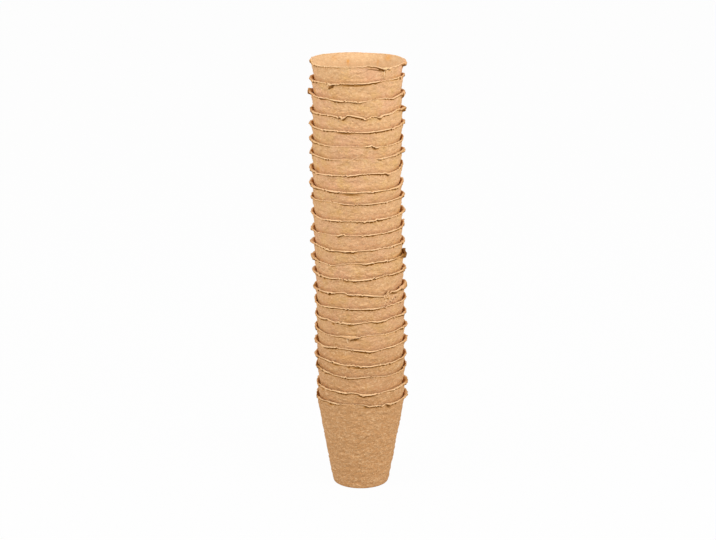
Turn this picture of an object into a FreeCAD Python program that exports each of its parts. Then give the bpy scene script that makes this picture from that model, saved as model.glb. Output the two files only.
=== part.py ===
import FreeCAD
import Part
import math
import os

V = FreeCAD.Vector

# A tower of round peat pots. Each pot is pressed in one piece from peat and wood fibre, as a
# tapered cup with a thin uneven lip, and sits in the pot below until the two walls nearly meet.
# Lengths are in millimetres. The origin is the middle of the bottom pot's foot, on the surface
# that it stands on, with +Z up, +X to the right and -Y to the front.

# Driving sizes of one pot
POT_HEIGHT = 81.5         # foot to the mean height of the rim
RIM_DIAMETER = 81.0       # over the lip where it is widest
FOOT_DIAMETER = 48.4      # where the wall's slope would meet the surface
WALL = 1.7                # a wall of usual thickness, measured level

# Rim and lip
RIM_FLARE = 1.2           # how far the rim's inner edge leans out of the cup's straight wall
LIP_OVERHANG = 1.75       # how far the lip stands out past the wall
LIP_THICKNESS = 1.2
LIP_ROOT_DROP = 2.0       # the lip's underside starts this much lower on the wall than it ends
LIP_DROOP = 0.3           # the lip's outer edge hangs this much below the rim's inner edge
LIP_ROUND = 0.3           # how far the lip's upper edge is worn back from its lower edge
RIM_SLANT = 1.0           # the rim's rise at one side when its slant share is one
RIM_WAVE = 0.5            # the rim's rise and fall about that slant
RIM_BAND = 1.5            # least height of the uneven band of wall below the lip
LIP_TORN_SHARE = 0.4      # how much of the overhang is missing where the lip is most torn

# Foot and floor
FLOOR = 2.2               # floor thickness
FOOT_BEVEL = 1.3          # outer edge of the foot
CORNER_FILLET = 2.5       # inner corner between the floor and the wall
DRAIN_DIAMETER = 8.0      # drain hole in the middle of the floor

# Nesting
NEST_CLEARANCE = 0.6      # level gap all round between a pot and the one that it sits in

# One row a pot, from the bottom pot up. The shares are: its wall's part of WALL, its shift from
# the pot below to the right and to the back as parts of NEST_CLEARANCE, and the rim's slant up to
# the right and up to the back as parts of RIM_SLANT.
POT_SHARES = (
    (0.80, 0.00, 0.00, 0.10, -0.95),
    (1.26, 0.60, 0.10, 0.25, -0.15),
    (0.70, -0.10, -0.20, -0.15, 0.05),
    (1.02, -0.40, 0.20, -0.15, -0.20),
    (0.97, -0.20, 0.10, 0.25, -0.50),
    (0.91, -0.20, -0.20, 0.30, -0.70),
    (0.99, -0.40, 0.20, 0.70, -0.35),
    (0.83, -0.50, 0.00, 0.90, -0.25),
    (1.15, -0.40, -0.10, 0.60, -0.85),
    (1.02, -0.60, 0.10, 0.90, -0.20),
    (0.92, -0.70, 0.00, 0.85, -0.80),
    (1.04, -0.70, 0.00, 0.30, 0.10),
    (1.00, -0.70, 0.00, 1.75, -0.05),
    (1.06, -0.40, 0.10, 0.60, 0.20),
    (0.87, -0.50, -0.10, 0.60, -0.05),
    (1.13, -0.60, -0.10, 0.15, 0.80),
    (0.98, -0.20, 0.20, 1.45, 0.10),
    (0.80, 0.00, -0.20, 0.70, -0.25),
    (1.01, 0.20, 0.20, 0.15, 0.05),
    (0.90, 0.20, -0.10, 0.55, 0.90),
    (1.10, 0.30, -0.20, 0.55, 0.45),
    (1.02, -0.10, 0.20, -0.25, 1.20),
    (1.10, 0.10, 0.10, 0.90, -0.05),
    (1.00, 0.30, -0.20, -0.65, -0.10),
)

# How finely the uneven rim is drawn, and how far one pot's tears are turned from the next one's
RIM_POINTS = 24
TEAR_TURN = 2.4           # radians

# Sizes that follow from those above
foot_radius = FOOT_DIAMETER / 2
wall_top_radius = RIM_DIAMETER / 2 - LIP_OVERHANG
drain_radius = DRAIN_DIAMETER / 2
taper = (wall_top_radius - foot_radius) / POT_HEIGHT
steepest_slant = RIM_SLANT * max(math.hypot(row[3], row[4]) for row in POT_SHARES)
rim_drop = steepest_slant + RIM_WAVE + LIP_THICKNESS + LIP_ROOT_DROP
wall_height = POT_HEIGHT - rim_drop - RIM_BAND


def outer_radius(height):
    """Radius of a pot's outside, which every pot has alike, at a height above its foot."""
    return foot_radius + taper * height


def tear(angle, pot):
    """How torn the lip is at an angle, from 0 where it is whole to 1 where it is shortest."""
    turn = pot * TEAR_TURN
    return (2 + math.sin(2 * angle + turn) + math.sin(5 * angle - turn)) / 4


def rim_height(angle, pot):
    """Height of the rim's inner edge above the pot's foot at an angle."""
    slant_right, slant_back = POT_SHARES[pot][3:5]
    slant = slant_right * math.cos(angle) + slant_back * math.sin(angle)
    turn = pot * TEAR_TURN
    wave = (math.sin(3 * angle + turn) + math.sin(4 * angle - turn)) / 2
    return POT_HEIGHT + RIM_SLANT * slant + RIM_WAVE * wave


def round_point(radius, angle, height):
    return V(radius * math.cos(angle), radius * math.sin(angle), height)


def closed_curve(point_at):
    """A smooth closed edge through the points that point_at gives round a full turn."""
    angles = [2 * math.pi * i / RIM_POINTS for i in range(RIM_POINTS)]
    curve = Part.BSplineCurve()
    curve.interpolate(Points=[point_at(a) for a in angles], PeriodicFlag=True)
    return curve.toShape()


def cup_faces(wall):
    """Inner wall, corner, floor, drain hole, underside, foot bevel and outer wall: one open
    profile in the XZ plane, from the inner wall's top to the outer wall's, turned about Z."""
    fillet_top = FLOOR + CORNER_FILLET
    fillet_foot_radius = outer_radius(FLOOR) - wall - CORNER_FILLET
    profile = (
        V(outer_radius(wall_height) - wall, 0, wall_height),
        V(outer_radius(fillet_top) - wall, 0, fillet_top),
        V(fillet_foot_radius, 0, FLOOR),
        V(drain_radius, 0, FLOOR),
        V(drain_radius, 0, 0),
        V(foot_radius - FOOT_BEVEL, 0, 0),
        V(outer_radius(FOOT_BEVEL), 0, FOOT_BEVEL),
        V(outer_radius(wall_height), 0, wall_height),
    )
    lines = [Part.LineSegment(a, b).toShape() for a, b in zip(profile, profile[1:])]
    return [line.revolve(V(0, 0, 0), V(0, 0, 1), 360) for line in lines]


def rim_faces(pot, wall):
    """The uneven rim, as ruled bands between closed curves: from the outer wall's top over the
    lip's root, lower edge and upper edge and the rim's inner edge to the inner wall's top."""
    def lip_radius(angle):
        return wall_top_radius + LIP_OVERHANG * (1 - LIP_TORN_SHARE * tear(angle, pot))

    def lip_root(angle):
        height = rim_height(angle, pot) - LIP_THICKNESS - LIP_ROOT_DROP
        return round_point(outer_radius(height), angle, height)

    def lip_lower_edge(angle):
        height = rim_height(angle, pot) - LIP_THICKNESS
        return round_point(lip_radius(angle), angle, height)

    def lip_upper_edge(angle):
        height = rim_height(angle, pot) - LIP_DROOP
        return round_point(lip_radius(angle) - LIP_ROUND, angle, height)

    def inner_edge(angle):
        height = rim_height(angle, pot)
        return round_point(outer_radius(height) - wall + RIM_FLARE, angle, height)

    level = V(0, 0, wall_height)
    curves = [
        Part.makeCircle(outer_radius(wall_height), level),
        closed_curve(lip_root),
        closed_curve(lip_lower_edge),
        closed_curve(lip_upper_edge),
        closed_curve(inner_edge),
        Part.makeCircle(outer_radius(wall_height) - wall, level),
    ]
    return [Part.makeRuledSurface(a, b) for a, b in zip(curves, curves[1:])]


def make_pot(pot):
    """One pot, standing on its own foot."""
    wall = WALL * POT_SHARES[pot][0]
    shell = Part.makeShell(cup_faces(wall) + rim_faces(pot, wall))
    shell.sewShape()
    solid = Part.makeSolid(shell)
    if solid.Volume < 0:
        solid.reverse()
    return solid


def seats():
    """The middle of each pot's foot. A pot sinks in until NEST_CLEARANCE is left all round."""
    places = [V(0, 0, 0)]
    for below, row in zip(POT_SHARES, POT_SHARES[1:]):
        shift = V(row[1], row[2], 0) * NEST_CLEARANCE
        rise = V(0, 0, (WALL * below[0] + NEST_CLEARANCE) / taper)
        places.append(places[-1] + shift + rise)
    return places


def main():
    os.makedirs("parts", exist_ok=True)
    for pot, place in enumerate(seats()):
        solid = make_pot(pot)
        solid.translate(place)
        name = "pot_%02d" % (pot + 1)
        solid.exportStep(os.path.join("parts", name + ".step"))
        print(name, "valid", solid.isValid(), "volume", round(solid.Volume), "seat", place)


main()
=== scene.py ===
import math

import bpy
import numpy as np
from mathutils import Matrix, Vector
from mathutils.bvhtree import BVHTree


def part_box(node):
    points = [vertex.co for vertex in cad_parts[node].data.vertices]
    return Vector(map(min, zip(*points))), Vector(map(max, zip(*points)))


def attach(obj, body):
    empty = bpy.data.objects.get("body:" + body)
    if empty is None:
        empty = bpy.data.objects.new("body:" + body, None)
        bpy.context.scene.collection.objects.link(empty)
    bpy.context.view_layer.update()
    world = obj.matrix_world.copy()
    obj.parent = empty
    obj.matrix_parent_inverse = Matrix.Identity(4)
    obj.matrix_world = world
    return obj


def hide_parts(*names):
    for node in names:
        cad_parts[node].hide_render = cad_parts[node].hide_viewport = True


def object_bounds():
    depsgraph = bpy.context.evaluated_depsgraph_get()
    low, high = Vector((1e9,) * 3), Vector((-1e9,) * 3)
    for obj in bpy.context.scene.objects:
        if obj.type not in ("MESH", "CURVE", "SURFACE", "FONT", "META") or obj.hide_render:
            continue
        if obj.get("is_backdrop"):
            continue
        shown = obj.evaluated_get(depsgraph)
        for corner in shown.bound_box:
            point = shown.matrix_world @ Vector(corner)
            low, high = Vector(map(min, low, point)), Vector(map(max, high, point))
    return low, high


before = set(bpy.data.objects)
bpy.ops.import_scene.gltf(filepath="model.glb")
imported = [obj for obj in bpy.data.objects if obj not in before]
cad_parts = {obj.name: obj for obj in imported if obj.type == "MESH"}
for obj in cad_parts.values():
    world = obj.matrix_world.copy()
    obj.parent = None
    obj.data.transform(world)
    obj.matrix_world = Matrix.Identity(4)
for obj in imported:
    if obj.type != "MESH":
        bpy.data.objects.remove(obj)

CAD_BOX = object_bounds()

bl_info = {
    "name": "Nested peat pots",
    "version": (1, 0, 0),
    "blender": (4, 5, 0),
    "location": "3D View > Sidebar > Peat pots",
    "description": "Dresses a stack of nested peat pots in pressed fibre, with torn lips, on a plain stage",
    "category": "Object",
}

MM = 0.001
FULL_TURN = 2 * math.pi

# The frame's pots, from the bottom of the stack to its top, and how near a pot's lowest point its
# other points have to be to belong to its foot
POT_NODES = sorted(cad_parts)
POT_COUNT = len(POT_NODES)
FOOT_SLACK = 0.1 * MM

# One pot, in metres from the middle of its foot
POT_HEIGHT = 81.5 * MM
FOOT_RADIUS = 24.2 * MM
WALL_TOP_RADIUS = 38.75 * MM
TAPER = (WALL_TOP_RADIUS - FOOT_RADIUS) / POT_HEIGHT
FLOOR_THICKNESS = 2.2 * MM
FOOT_BEVEL = 1.3 * MM
FOOT_EDGE = 0.7 * MM
WALL_START = 1.2 * FOOT_BEVEL
CORNER_FILLET = 2.5 * MM
DRAIN_RADIUS = 4.0 * MM
NEST_CLEARANCE = 0.6 * MM
TOP_POT_WALL = 1.7 * MM
LEAST_WALL = 0.3 * MM

# The rim: how far its inner edge leans out, over what height and how sharply, and how much the
# edge is worn down
RIM_FLARE = 1.2 * MM
FLARE_RISE = 7.0 * MM
FLARE_CURVE = 1.5
LEAST_RIM = 0.75 * MM
INNER_WEAR = 0.3 * MM
INNER_ROUND = 0.2 * MM

# The lip's section, from its root on the wall over its outer edge to its crown
LIP_OUT = 1.75 * MM
LIP_THICK = 1.25 * MM
LEAST_LIP_THICK = 0.3 * MM
LIP_ROOT_DROP = 1.3 * MM
LIP_ROOT_INSET = 0.1 * MM
LIP_HOLLOW = 0.2 * MM
LIP_EDGE_ROUND = 0.12 * MM
LIP_EDGE_WEAR = 0.3 * MM
LIP_CROWN = 0.2 * MM
FRONT_LIP_SHARE = 0.85
BACK_LIP_SHARE = 0.8

# How many rounds of smoothing take the corners off a rim, and off the back of the top pot's rim
CORNER_ROUNDS = 2
TOP_BACK_ROUNDS = 60

# How long the waves are that make a rim uneven, and how far they move it
FINE_WAVE = 3.2 * MM
BROAD_WAVE = 8 * MM
ROUGH_WAVE = 16 * MM
NOTCH_WAVE = 4.5 * MM
PATCH_WAVE = 26 * MM
FLECK_WAVE = 4 * MM
EDGE_WAVE = 2.4 * MM
NOTCH_DEPTH = 0.5 * MM
END_RISE = 0.45 * MM

# The wall's relief: the strength, width and height of each kind of lump, and how many waves make it
LUMPS = (
    (0.62, 11 * MM, 7 * MM, 44),
    (0.45, 4.5 * MM, 3 * MM, 44),
    (0.30, 2.6 * MM, 1.9 * MM, 60),
)
COARSE_LUMPS = (4 * MM, 2.4 * MM, 120)
SHOWN_MARGIN = 3 * MM
FOOT_CALM = 4 * MM
# Height of the band of painted shade under each lip
LIP_SHADE_HEIGHT = 1.3 * MM

# Painted shade in the slot over the rim of the pot below (first row), and painted warm bounce light
# at the sides of that slot (second row), in millimetres under that rim: where each starts, over what
# depth it does, where it ends and over what depth
SLOT_SHADE = (0.9, 1.2, 11, 9)
SLOT_BOUNCE_LIGHT = (-2.2, 1.6, 9, 8)

# How deep the materials' own bumps are, in the pulp and in the loose wood fibre
PULP_BUMP = 0.8 * MM
FIBRE_BUMP = 0.15 * MM

# Loose fibres and crumbs: how many there are for each metre of wall that shows, the fibres' length
# and half thickness and the crumbs' half width in millimetres, and how far they may stand out
FIBRES_A_METRE = 4500
CRUMBS_A_METRE = 1500
FIBRE_LENGTHS = (1.2, 4.5)
FIBRE_HALVES = (0.07, 0.15)
CRUMB_HALVES = (0.12, 0.3)
FIBRE_MARGIN = 0.4 * MM
FIBRE_BOTTOM = 2 * MM
FIBRE_REACH = 0.6 * MM
SLIVER_REACH = 3 * MM
CRUMB_REACH = 2.4 * MM

# The photograph's frame and camera
PHOTO_WIDTH = 716
PHOTO_HEIGHT = 540
CAMERA_DISTANCE = 1.534
CAMERA_HEIGHT = 0.6171
CAMERA_ACROSS = -0.0025
CAMERA_PITCH = math.radians(15.5)
SENSOR_WIDTH = 36.0
LENS = 93.13
PIXELS_A_UNIT = LENS / SENSOR_WIDTH * PHOTO_WIDTH

# How low a patch on the inside's far wall looks there, for its height
FAR_WALL_SQUASH = 0.6

# The floor, with how much of it the camera sees as plain white, and the lamps, each with its side
# and its place across and back, in metres
FLOOR_HALF = 12.0
FLOOR_WHITE = 0.97
LAMPS = (("left", -1.2, -0.65), ("right", 1.05, -0.85))
LAMP_HEIGHT = 1.0
LAMP_WIDTH = 1.1
LAMP_DEPTH = 0.9
LAMP_TARGET = (0, 0, 0.28)

# Mesh rows and columns
COLUMNS = 384
COLUMN_ANGLES = np.arange(COLUMNS) * (FULL_TURN / COLUMNS)
BACK_ANGLES = np.radians(np.arange(18, 163, 16))
SHOWN_ROW = 0.65 * MM
HIDDEN_ROW = 3.0 * MM
LIP_RINGS = 10
INNER_RIM_RINGS = 12
INNER_WALL_RINGS = 14
STRAND_SIDES = 5

# Seeds of the bottom pot and of its loose bits. Each pot above counts on from there.
POT_SEED = 100
BITS_SEED = 500

# The front of each rim, read from the left side of the stack to its right side. A point is the
# photograph's pixel across, its pixel down, and how much of the lip stands there.
RIM_TRACES = {
    24: ((309.4, 60, 1), (312.9, 64, .7), (320.8, 66, .5), (337.3, 66.9, .5), (342, 67, .1),
         (355, 66.9, .05), (361, 66.6, .4), (366, 66.3, .5), (369, 66, 1.1), (378, 66.8, 1.2),
         (382, 68, 1.2), (385, 68.6, 1.3), (388, 67.6, 1), (390, 68.2, .9), (392.5, 67, .1),
         (398, 65.5, .1), (402.7, 63.5, .6), (406.6, 62, 1.3)),
    23: ((309.3, 77.5, 1.2), (312.5, 80.5, .7), (320, 81.9, .3), (324, 82.3, .08), (328, 83, .15),
         (330.3, 84.6, 1), (332, 83.9, 1.2), (342, 83.8, 1.2), (358, 83.8, 1), (367.9, 83, .9),
         (378.6, 81.3, .8), (383, 80.4, .5), (388.6, 79.7, .5), (399.3, 77.3, .8), (404.8, 73.3, 1)),
    22: ((307.7, 88.9, 1.2), (311.5, 93.8, .8), (315, 96.2, .7), (325, 97.9, .9), (337.3, 100.7, 1),
         (349.7, 101.6, 1.1), (362, 102, 1.1), (366, 101.4, .8), (369, 100.5, .15), (380, 98.6, .1),
         (385, 97.9, .5), (393.5, 98.3, .9), (399.3, 94.5, .9), (405.4, 91.3, 1.1)),
    21: ((309.9, 108.5, 1.1), (313.4, 112, 1), (320.8, 114, .8), (329, 115.2, 1), (339, 116.9, 1.1),
         (342, 118, 1.2), (344, 117.7, 1), (347.2, 114.8, .9), (353.9, 116, 1.1), (362, 117.7, 1.3),
         (365, 119, 1.2), (367, 119, 1.1), (370, 117.4, 1), (376, 116.4, 1), (380.3, 117.7, 1.4),
         (383.6, 115.2, 1), (391.9, 113.1, 1.1), (397.6, 109.2, .8), (406.1, 107.1, 1.2)),
    20: ((309.1, 122.5, 1.1), (314.2, 126.8, .9), (320.8, 129.3, 1), (333.2, 130.5, 1.1),
         (345.6, 131.7, 1.2), (358, 132.6, 1.2), (370.4, 132.1, 1.1), (382.8, 130.1, 1),
         (393.5, 128, .8), (400.1, 125.4, .9), (405, 121, 1.1)),
    19: ((309.3, 137.5, 1.1), (312.5, 140.8, 1), (315.8, 142.5, .9), (323.3, 145, .8),
         (327, 145.6, .5), (331, 146, .1), (348, 146.5, .06), (353.9, 146.6, .4), (361, 146.9, .4),
         (365.4, 147, 1), (370.4, 145.4, 1.1), (373.5, 146, 1.2), (377, 147.4, 1.3), (380, 146.5, .2),
         (388, 145.6, .3), (397.5, 142.5, .5), (403.3, 137, 1)),
    18: ((309.7, 151, 1.1), (315, 154.9, .9), (325, 158.6, .9), (331.5, 159.4, .3), (338, 159.3, .08),
         (345.6, 159, .3), (350, 159, .15), (358, 158.8, .4), (368, 158.9, .15), (377, 158.8, .15),
         (381, 158.4, 1), (388, 157.1, 1.1), (393.5, 155.7, 1.1), (400, 152.2, .9), (405.1, 149, 1.1)),
    17: ((309.3, 166.3, 1), (312.5, 170.5, .8), (315.8, 172.9, .8), (335.7, 175.3, 1), (348.9, 175.7, 1),
         (362.1, 174.1, 1), (374.5, 173.3, 1), (386.1, 172.9, 1.2), (390.2, 173.6, 1.4),
         (391.8, 172.4, .2), (395, 171, .03), (399.5, 167.6, .03), (403.2, 162.6, 1)),
    16: ((309.3, 181, 1.2), (314.2, 186.9, 1), (320.8, 189, 1), (331.5, 191, 1.1), (345.6, 192.7, 1.2),
         (353.9, 193, 1.2), (362.1, 192.3, 1.1), (378.6, 191, 1), (391, 189, .9), (396.8, 187.3, .9),
         (403.5, 180.5, 1.1)),
    15: ((311, 195.5, 1), (313.5, 198.3, .7), (316.7, 199.7, .4), (329, 201, .3), (336, 202.6, .1),
         (341, 203.6, .3), (344.8, 204.3, .9), (353.9, 205, 1), (366.2, 204.3, 1), (378.6, 203, 1),
         (387.7, 201.4, .9), (398.5, 197.6, .8), (404.6, 193.6, 1)),
    14: ((310.8, 210.5, 1), (315, 215.4, .8), (320.8, 218.7, .8), (330.7, 220, 1), (345.6, 221.2, 1),
         (355, 221.2, 1.1), (357, 221.8, 1.4), (359.5, 221.2, 1), (364.5, 221.9, 1.4),
         (366.5, 221.3, 1), (370, 221.2, 1.1), (376.2, 219.6, 1), (386.9, 217.9, 1),
         (400.1, 213.9, .9), (405.2, 208.6, 1.1)),
    13: ((310.9, 227.3, 1), (313, 230, .7), (316, 231.6, .1), (326, 233.6, .05), (335, 235.2, .1),
         (338, 235.6, 1.2), (342.3, 234.4, .9), (349.7, 236, 1), (362.1, 235.7, 1), (374.5, 234.4, 1),
         (384.4, 232.8, .9), (393.5, 230.3, .9), (399.3, 228, .8), (404.5, 222.3, 1)),
    12: ((310.3, 240, 1.1), (313.4, 242.6, .9), (320.8, 246.4, .9), (329, 250, 1), (342.3, 251.4, 1.1),
         (353.9, 251.4, 1.1), (366.2, 250.5, 1.1), (378.6, 248.9, 1), (391, 246.4, .9),
         (397.7, 244.3, .9), (405.2, 239, 1.1)),
    11: ((311, 254.8, 1.3), (314.5, 258.4, 1.1), (318.3, 260.2, .6), (324, 262.8, .2),
         (331, 265.7, .4), (337, 264.8, .15), (340, 264, .4), (352, 263.8, .4), (357.2, 263.8, .8),
         (366.2, 263.8, 1), (378.6, 261.7, 1), (391.9, 259.6, 1.3), (394, 259.4, 1), (396.5, 258, .15),
         (400, 256.3, .3), (403.6, 254.8, .8), (407.1, 252.6, 1.2)),
    10: ((312.1, 268.8, 1.1), (315.8, 272.4, .8), (324.1, 276.6, 1.2), (329, 278.2, 1),
         (335.7, 278.2, 1), (345.6, 279.9, 1), (353.9, 280.3, 1.3), (367.9, 279.5, 1.2),
         (376.2, 278.2, 1), (385.3, 275.7, 1), (395.2, 273.2, .8), (400.1, 271.2, .8),
         (406.1, 266.2, 1.1)),
    9: ((313.6, 285.5, 1.1), (317, 288.6, .9), (320, 290, .6), (328.2, 292.5, 1.3), (332, 292.6, 1),
         (344.3, 292.6, .9), (345.6, 293.2, .3), (347, 294.6, .9), (353.9, 295, 1.1),
         (358.8, 295, 1.3), (367.9, 295.4, 1.2), (378.6, 296.2, 1), (384.4, 296.2, 1.1),
         (386.5, 295.4, .4), (389, 291.8, .7), (398.5, 290.2, .9), (402, 286.8, 1.3),
         (407, 282.0, 1.4)),
    8: ((314.3, 298, .9), (316.5, 302, .6), (318.3, 304.6, .8), (327.4, 306.5, 1), (337.3, 307.8, 1),
         (349.7, 309, 1.1), (362.1, 309.4, 1.1), (374.5, 308.6, 1), (383.6, 307.8, 1),
         (387.7, 305.7, .8), (395.2, 303.8, .8), (401, 301, .9), (406.1, 295.4, 1.1)),
    7: ((315.3, 312.2, 1), (318.3, 316.4, .8), (325.8, 318.9, 1.2), (332.4, 321.8, 1.1),
         (342.3, 322.6, 1.4), (348.9, 323.9, 1.1), (358.8, 323.5, 1), (367.9, 321.8, 1),
         (378.6, 321.8, 1), (386.1, 319.8, .9), (393.5, 316.9, .9), (401.8, 314, .9),
         (406.4, 310, 1.1)),
    6: ((315.1, 324.7, 1), (318, 329.3, .6), (322, 331.6, .3), (334, 335.6, .3), (337, 336.3, .5),
         (343, 336.1, .8), (349, 336.6, 1.2), (354, 337, 1.1), (360.5, 337.1, .8), (364.5, 336.3, .3),
         (368.7, 335.2, .4), (385, 334.4, .35), (391, 332.4, .3), (397, 330, .4), (401.5, 327.4, .8),
         (407.4, 323.6, 1)),
    5: ((314.5, 338.5, 1.1), (318.3, 342.9, .9), (323.3, 346.2, 1.2), (335.7, 347, 1),
         (342, 348.7, .9), (345.6, 349.1, .9), (360.5, 350.7, 1.1), (370.4, 352, 1.2),
         (378.6, 350.7, 1), (386.9, 347.9, 1), (395.2, 345.4, .9), (401.8, 342.3, .9),
         (407.2, 337.6, 1)),
    4: ((314.7, 352.3, 1.1), (319, 356.6, .9), (327.4, 360.2, 1), (334.8, 362.7, 1),
         (342.3, 365.2, 1.1), (348.9, 365.6, 1.4), (355.5, 366, 1.1), (366.2, 366.9, 1.1),
         (378.6, 365.2, 1), (386.9, 363.6, .9), (395.2, 361.4, .9), (401.8, 358, .9),
         (406.2, 352.6, 1)),
    3: ((316.3, 363, 1.4), (318.5, 366.4, 1.2), (320.8, 368.5, 1), (327.4, 371.8, 1),
         (332.4, 375.1, 1.1), (342.3, 376.8, 1.1), (348.9, 378, 1), (358, 378, .9), (367.9, 376.8, .8),
         (373, 376.8, .6), (378.6, 376.8, .4), (391, 375, .4), (399.3, 371.4, .6), (406, 363.4, 1)),
    2: ((317.3, 381.4, 1), (321.6, 386, .8), (324.9, 388.3, .9), (332.4, 390.4, 1),
         (345.6, 392.9, 1.1), (353.9, 393.3, 1.1), (362, 395, 1.3), (370.4, 395, 1.2),
         (378.6, 393.7, 1.1), (385.3, 391.7, 1), (395.2, 388.8, .9), (402.6, 384.6, 1.1),
         (407.9, 379.6, 1.4)),
    1: ((316.9, 394.8, 1), (319, 397.4, .7), (323.3, 399.9, .7), (329, 401.6, .9), (334, 403.2, 1),
         (343.1, 404.5, .8), (346, 404.5, .1), (360, 404.8, .08), (362.5, 404.6, .3),
         (364.6, 405.3, 1), (368.7, 406.5, 1.3), (378.6, 405.7, 1.1), (383.6, 406.5, 1.3),
         (386.1, 404, 1), (388.5, 403.8, 1.3), (391, 403.6, 1.2), (400.1, 400.2, 1),
         (403.8, 397.8, 1.1), (408, 393, 1.3)),
}

# The back of the top pot's rim, which shows over its inside
TOP_RIM_BACK = (
    (311.4, 57.2), (315, 55.7), (320, 54.3), (331, 53), (340, 52.3), (349, 52), (360, 52.3),
    (370, 52.7), (381, 53.2), (391.5, 54.2), (398, 55.6), (402.2, 57.2),
)

# Torn flaps that hang from a lip: pot, pixel across, half width in pixels, and droop in millimetres
LIP_FLAPS = (
    (24, 385, 1.4, 1.0), (24, 390, 1.2, 0.8), (23, 330.0, 2.0, 0.9), (22, 357, 5.0, 0.3),
    (21, 342, 2.0, 0.4), (21, 365.5, 2.2, 0.4), (21, 380.3, 1.4, 0.6), (17, 389, 1.8, 1.0),
    (14, 357, 1.0, 0.7), (14, 364.5, 1.2, 0.7), (10, 324.1, 1.5, 0.5), (10, 353.9, 2.0, 0.5),
    (9, 358.8, 2.5, 0.5), (9, 403.5, 2.0, 2.4), (11, 403.5, 2.0, 1.0), (7, 342.3, 2.0, 0.7),
    (6, 350, 9.5, 2.6), (4, 348.9, 1.8, 0.7), (2, 363, 3.0, 0.8), (1, 369, 2.0, 0.6),
    (1, 383.4, 1.2, 0.6), (1, 389, 2.2, 1.0),
)

# Hollows in the walls where pulp has come away: pot, pixel across and down, half width and half
# height in pixels, and depth in millimetres, which is below zero where a crumb stands out
# Each hollow is also darkened with painted shade; the long thin ones paint the shade under a lip
WALL_PITS = (
    (24, 385.0, 70.4, 1.6, 1.2, 0.9), (24, 389.6, 69.8, 1.3, 1.0, 0.7),
    (23, 331.0, 87.0, 2.4, 1.5, 1.4), (23, 331.6, 85.4, 1.8, 1.0, 1.2),
    (22, 358.0, 98.2, 4.0, 1.4, -0.35), (21, 342.5, 119.6, 2.0, 0.8, 0.7),
    (21, 365.5, 120.6, 2.2, 0.8, 0.7), (21, 380.3, 119.4, 1.4, 1.0, 0.9),
    (17, 388.6, 174.6, 2.4, 0.9, 0.8), (14, 357.2, 223.4, 1.0, 0.8, 0.6),
    (14, 364.4, 223.4, 1.2, 0.8, 0.6), (13, 338.3, 237.0, 1.8, 0.9, 0.9),
    (11, 395.2, 259.6, 1.4, 0.9, 0.7), (11, 402.6, 257.0, 2.6, 2.2, 0.5),
    (9, 393.5, 292.4, 4.0, 0.8, 0.8), (9, 387.5, 299.0, 1.6, 1.2, 0.5),
    (9, 392.5, 297.5, 1.8, 1.3, -0.45), (6, 396.0, 331.4, 1.4, 0.9, 0.8),
    (6, 354.5, 340.4, 4.0, 0.7, 0.6), (4, 349.0, 367.6, 1.8, 0.8, 0.6),
    (2, 362.0, 396.6, 3.4, 0.8, 0.6), (1, 389.0, 406.0, 2.2, 0.9, 0.9),
    (23, 352.0, 86.0, 12.0, 0.8, 0.4), (20, 345.0, 133.8, 8.0, 0.7, 0.3),
    (19, 376.0, 149.0, 3.0, 0.9, 0.6), (16, 350.0, 195.1, 9.0, 0.8, 0.4),
    (15, 374.0, 205.6, 4.0, 0.8, 0.5), (12, 350.0, 253.4, 7.0, 0.7, 0.4),
    (10, 324.5, 278.6, 1.8, 0.9, 0.6), (10, 346.5, 281.9, 3.0, 0.8, 0.5),
    (10, 354.5, 282.3, 2.0, 0.9, 0.6), (9, 322.0, 292.9, 3.5, 0.8, 0.6),
    (9, 329.5, 294.5, 2.0, 0.9, 0.6), (9, 350.0, 296.8, 3.5, 0.8, 0.5),
    (9, 361.5, 297.1, 3.5, 0.9, 0.6), (9, 372.0, 297.7, 3.0, 0.8, 0.5),
    (7, 333.4, 324.0, 1.8, 1.0, 0.7), (7, 350.0, 325.9, 3.0, 0.9, 0.6),
    (4, 336.0, 365.0, 4.0, 0.8, 0.5), (4, 358.0, 368.3, 6.0, 0.9, 0.5),
    (3, 326.0, 373.4, 2.5, 0.9, 0.5), (2, 322.5, 389.0, 2.2, 0.9, 0.6),
    (1, 331.0, 404.3, 2.5, 0.9, 0.6), (1, 366.5, 407.8, 3.0, 0.8, 0.6),
)

# Patches of coarse lumps: pot, pixel across and down, half width and half height in pixels, and
# the height of the lumps in millimetres
COARSE_PATCHES = (
    (1, 388, 436, 26, 44, 0.22), (9, 390, 300, 8, 6, 0.35), (6, 395, 336, 8, 4, 0.25),
    (2, 330, 398, 12, 4, 0.2), (21, 350, 124, 16, 4, 0.15),
)

# Rust-coloured stains, and small patches of painted warm bounce light in the slots by the ears at the
# sides of the stack: pot, pixel across and down, half width and half height in pixels, strength,
# and whether the stain is inside the cup
RUST_STAINS = (
    (24, 388, 57.8, 4.5, 1.7, 0.75, True), (24, 334, 58, 4, 1.6, 0.3, True),
    (24, 347.7, 60.7, 1.5, 1.0, 1.0, True), (24, 378.6, 61.5, 1.2, 2.0, 0.5, True),
    (23, 314.8, 90.5, 2.6, 2.2, 0.9, False), (22, 400.5, 109.0, 2.6, 2.2, 0.8, False),
    (21, 314.8, 122.5, 2.6, 2.2, 0.9, False), (18, 318, 168.7, 3.2, 2.2, 0.9, False),
    (18, 328, 167.5, 9, 3.5, 0.3, False), (5, 345, 357, 16, 4, 0.25, False),
    (12, 330, 272, 14, 5, 0.15, False), (14, 358, 214, 8, 6, 0.2, False),
    (9, 330, 300, 10, 5, 0.2, False), (1, 322, 425, 4, 30, 0.2, False),
    (12, 316.5, 256, 2, 2, 0.6, False), (9, 401, 297, 2.2, 2.2, 0.7, False),
    (7, 401.5, 325, 2.2, 2.2, 0.6, False), (6, 401.5, 339, 2.2, 2.2, 0.6, False),
    (5, 319, 353, 2.2, 2.2, 0.6, False), (4, 401.5, 365, 2.2, 2.2, 0.6, False),
)
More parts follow.
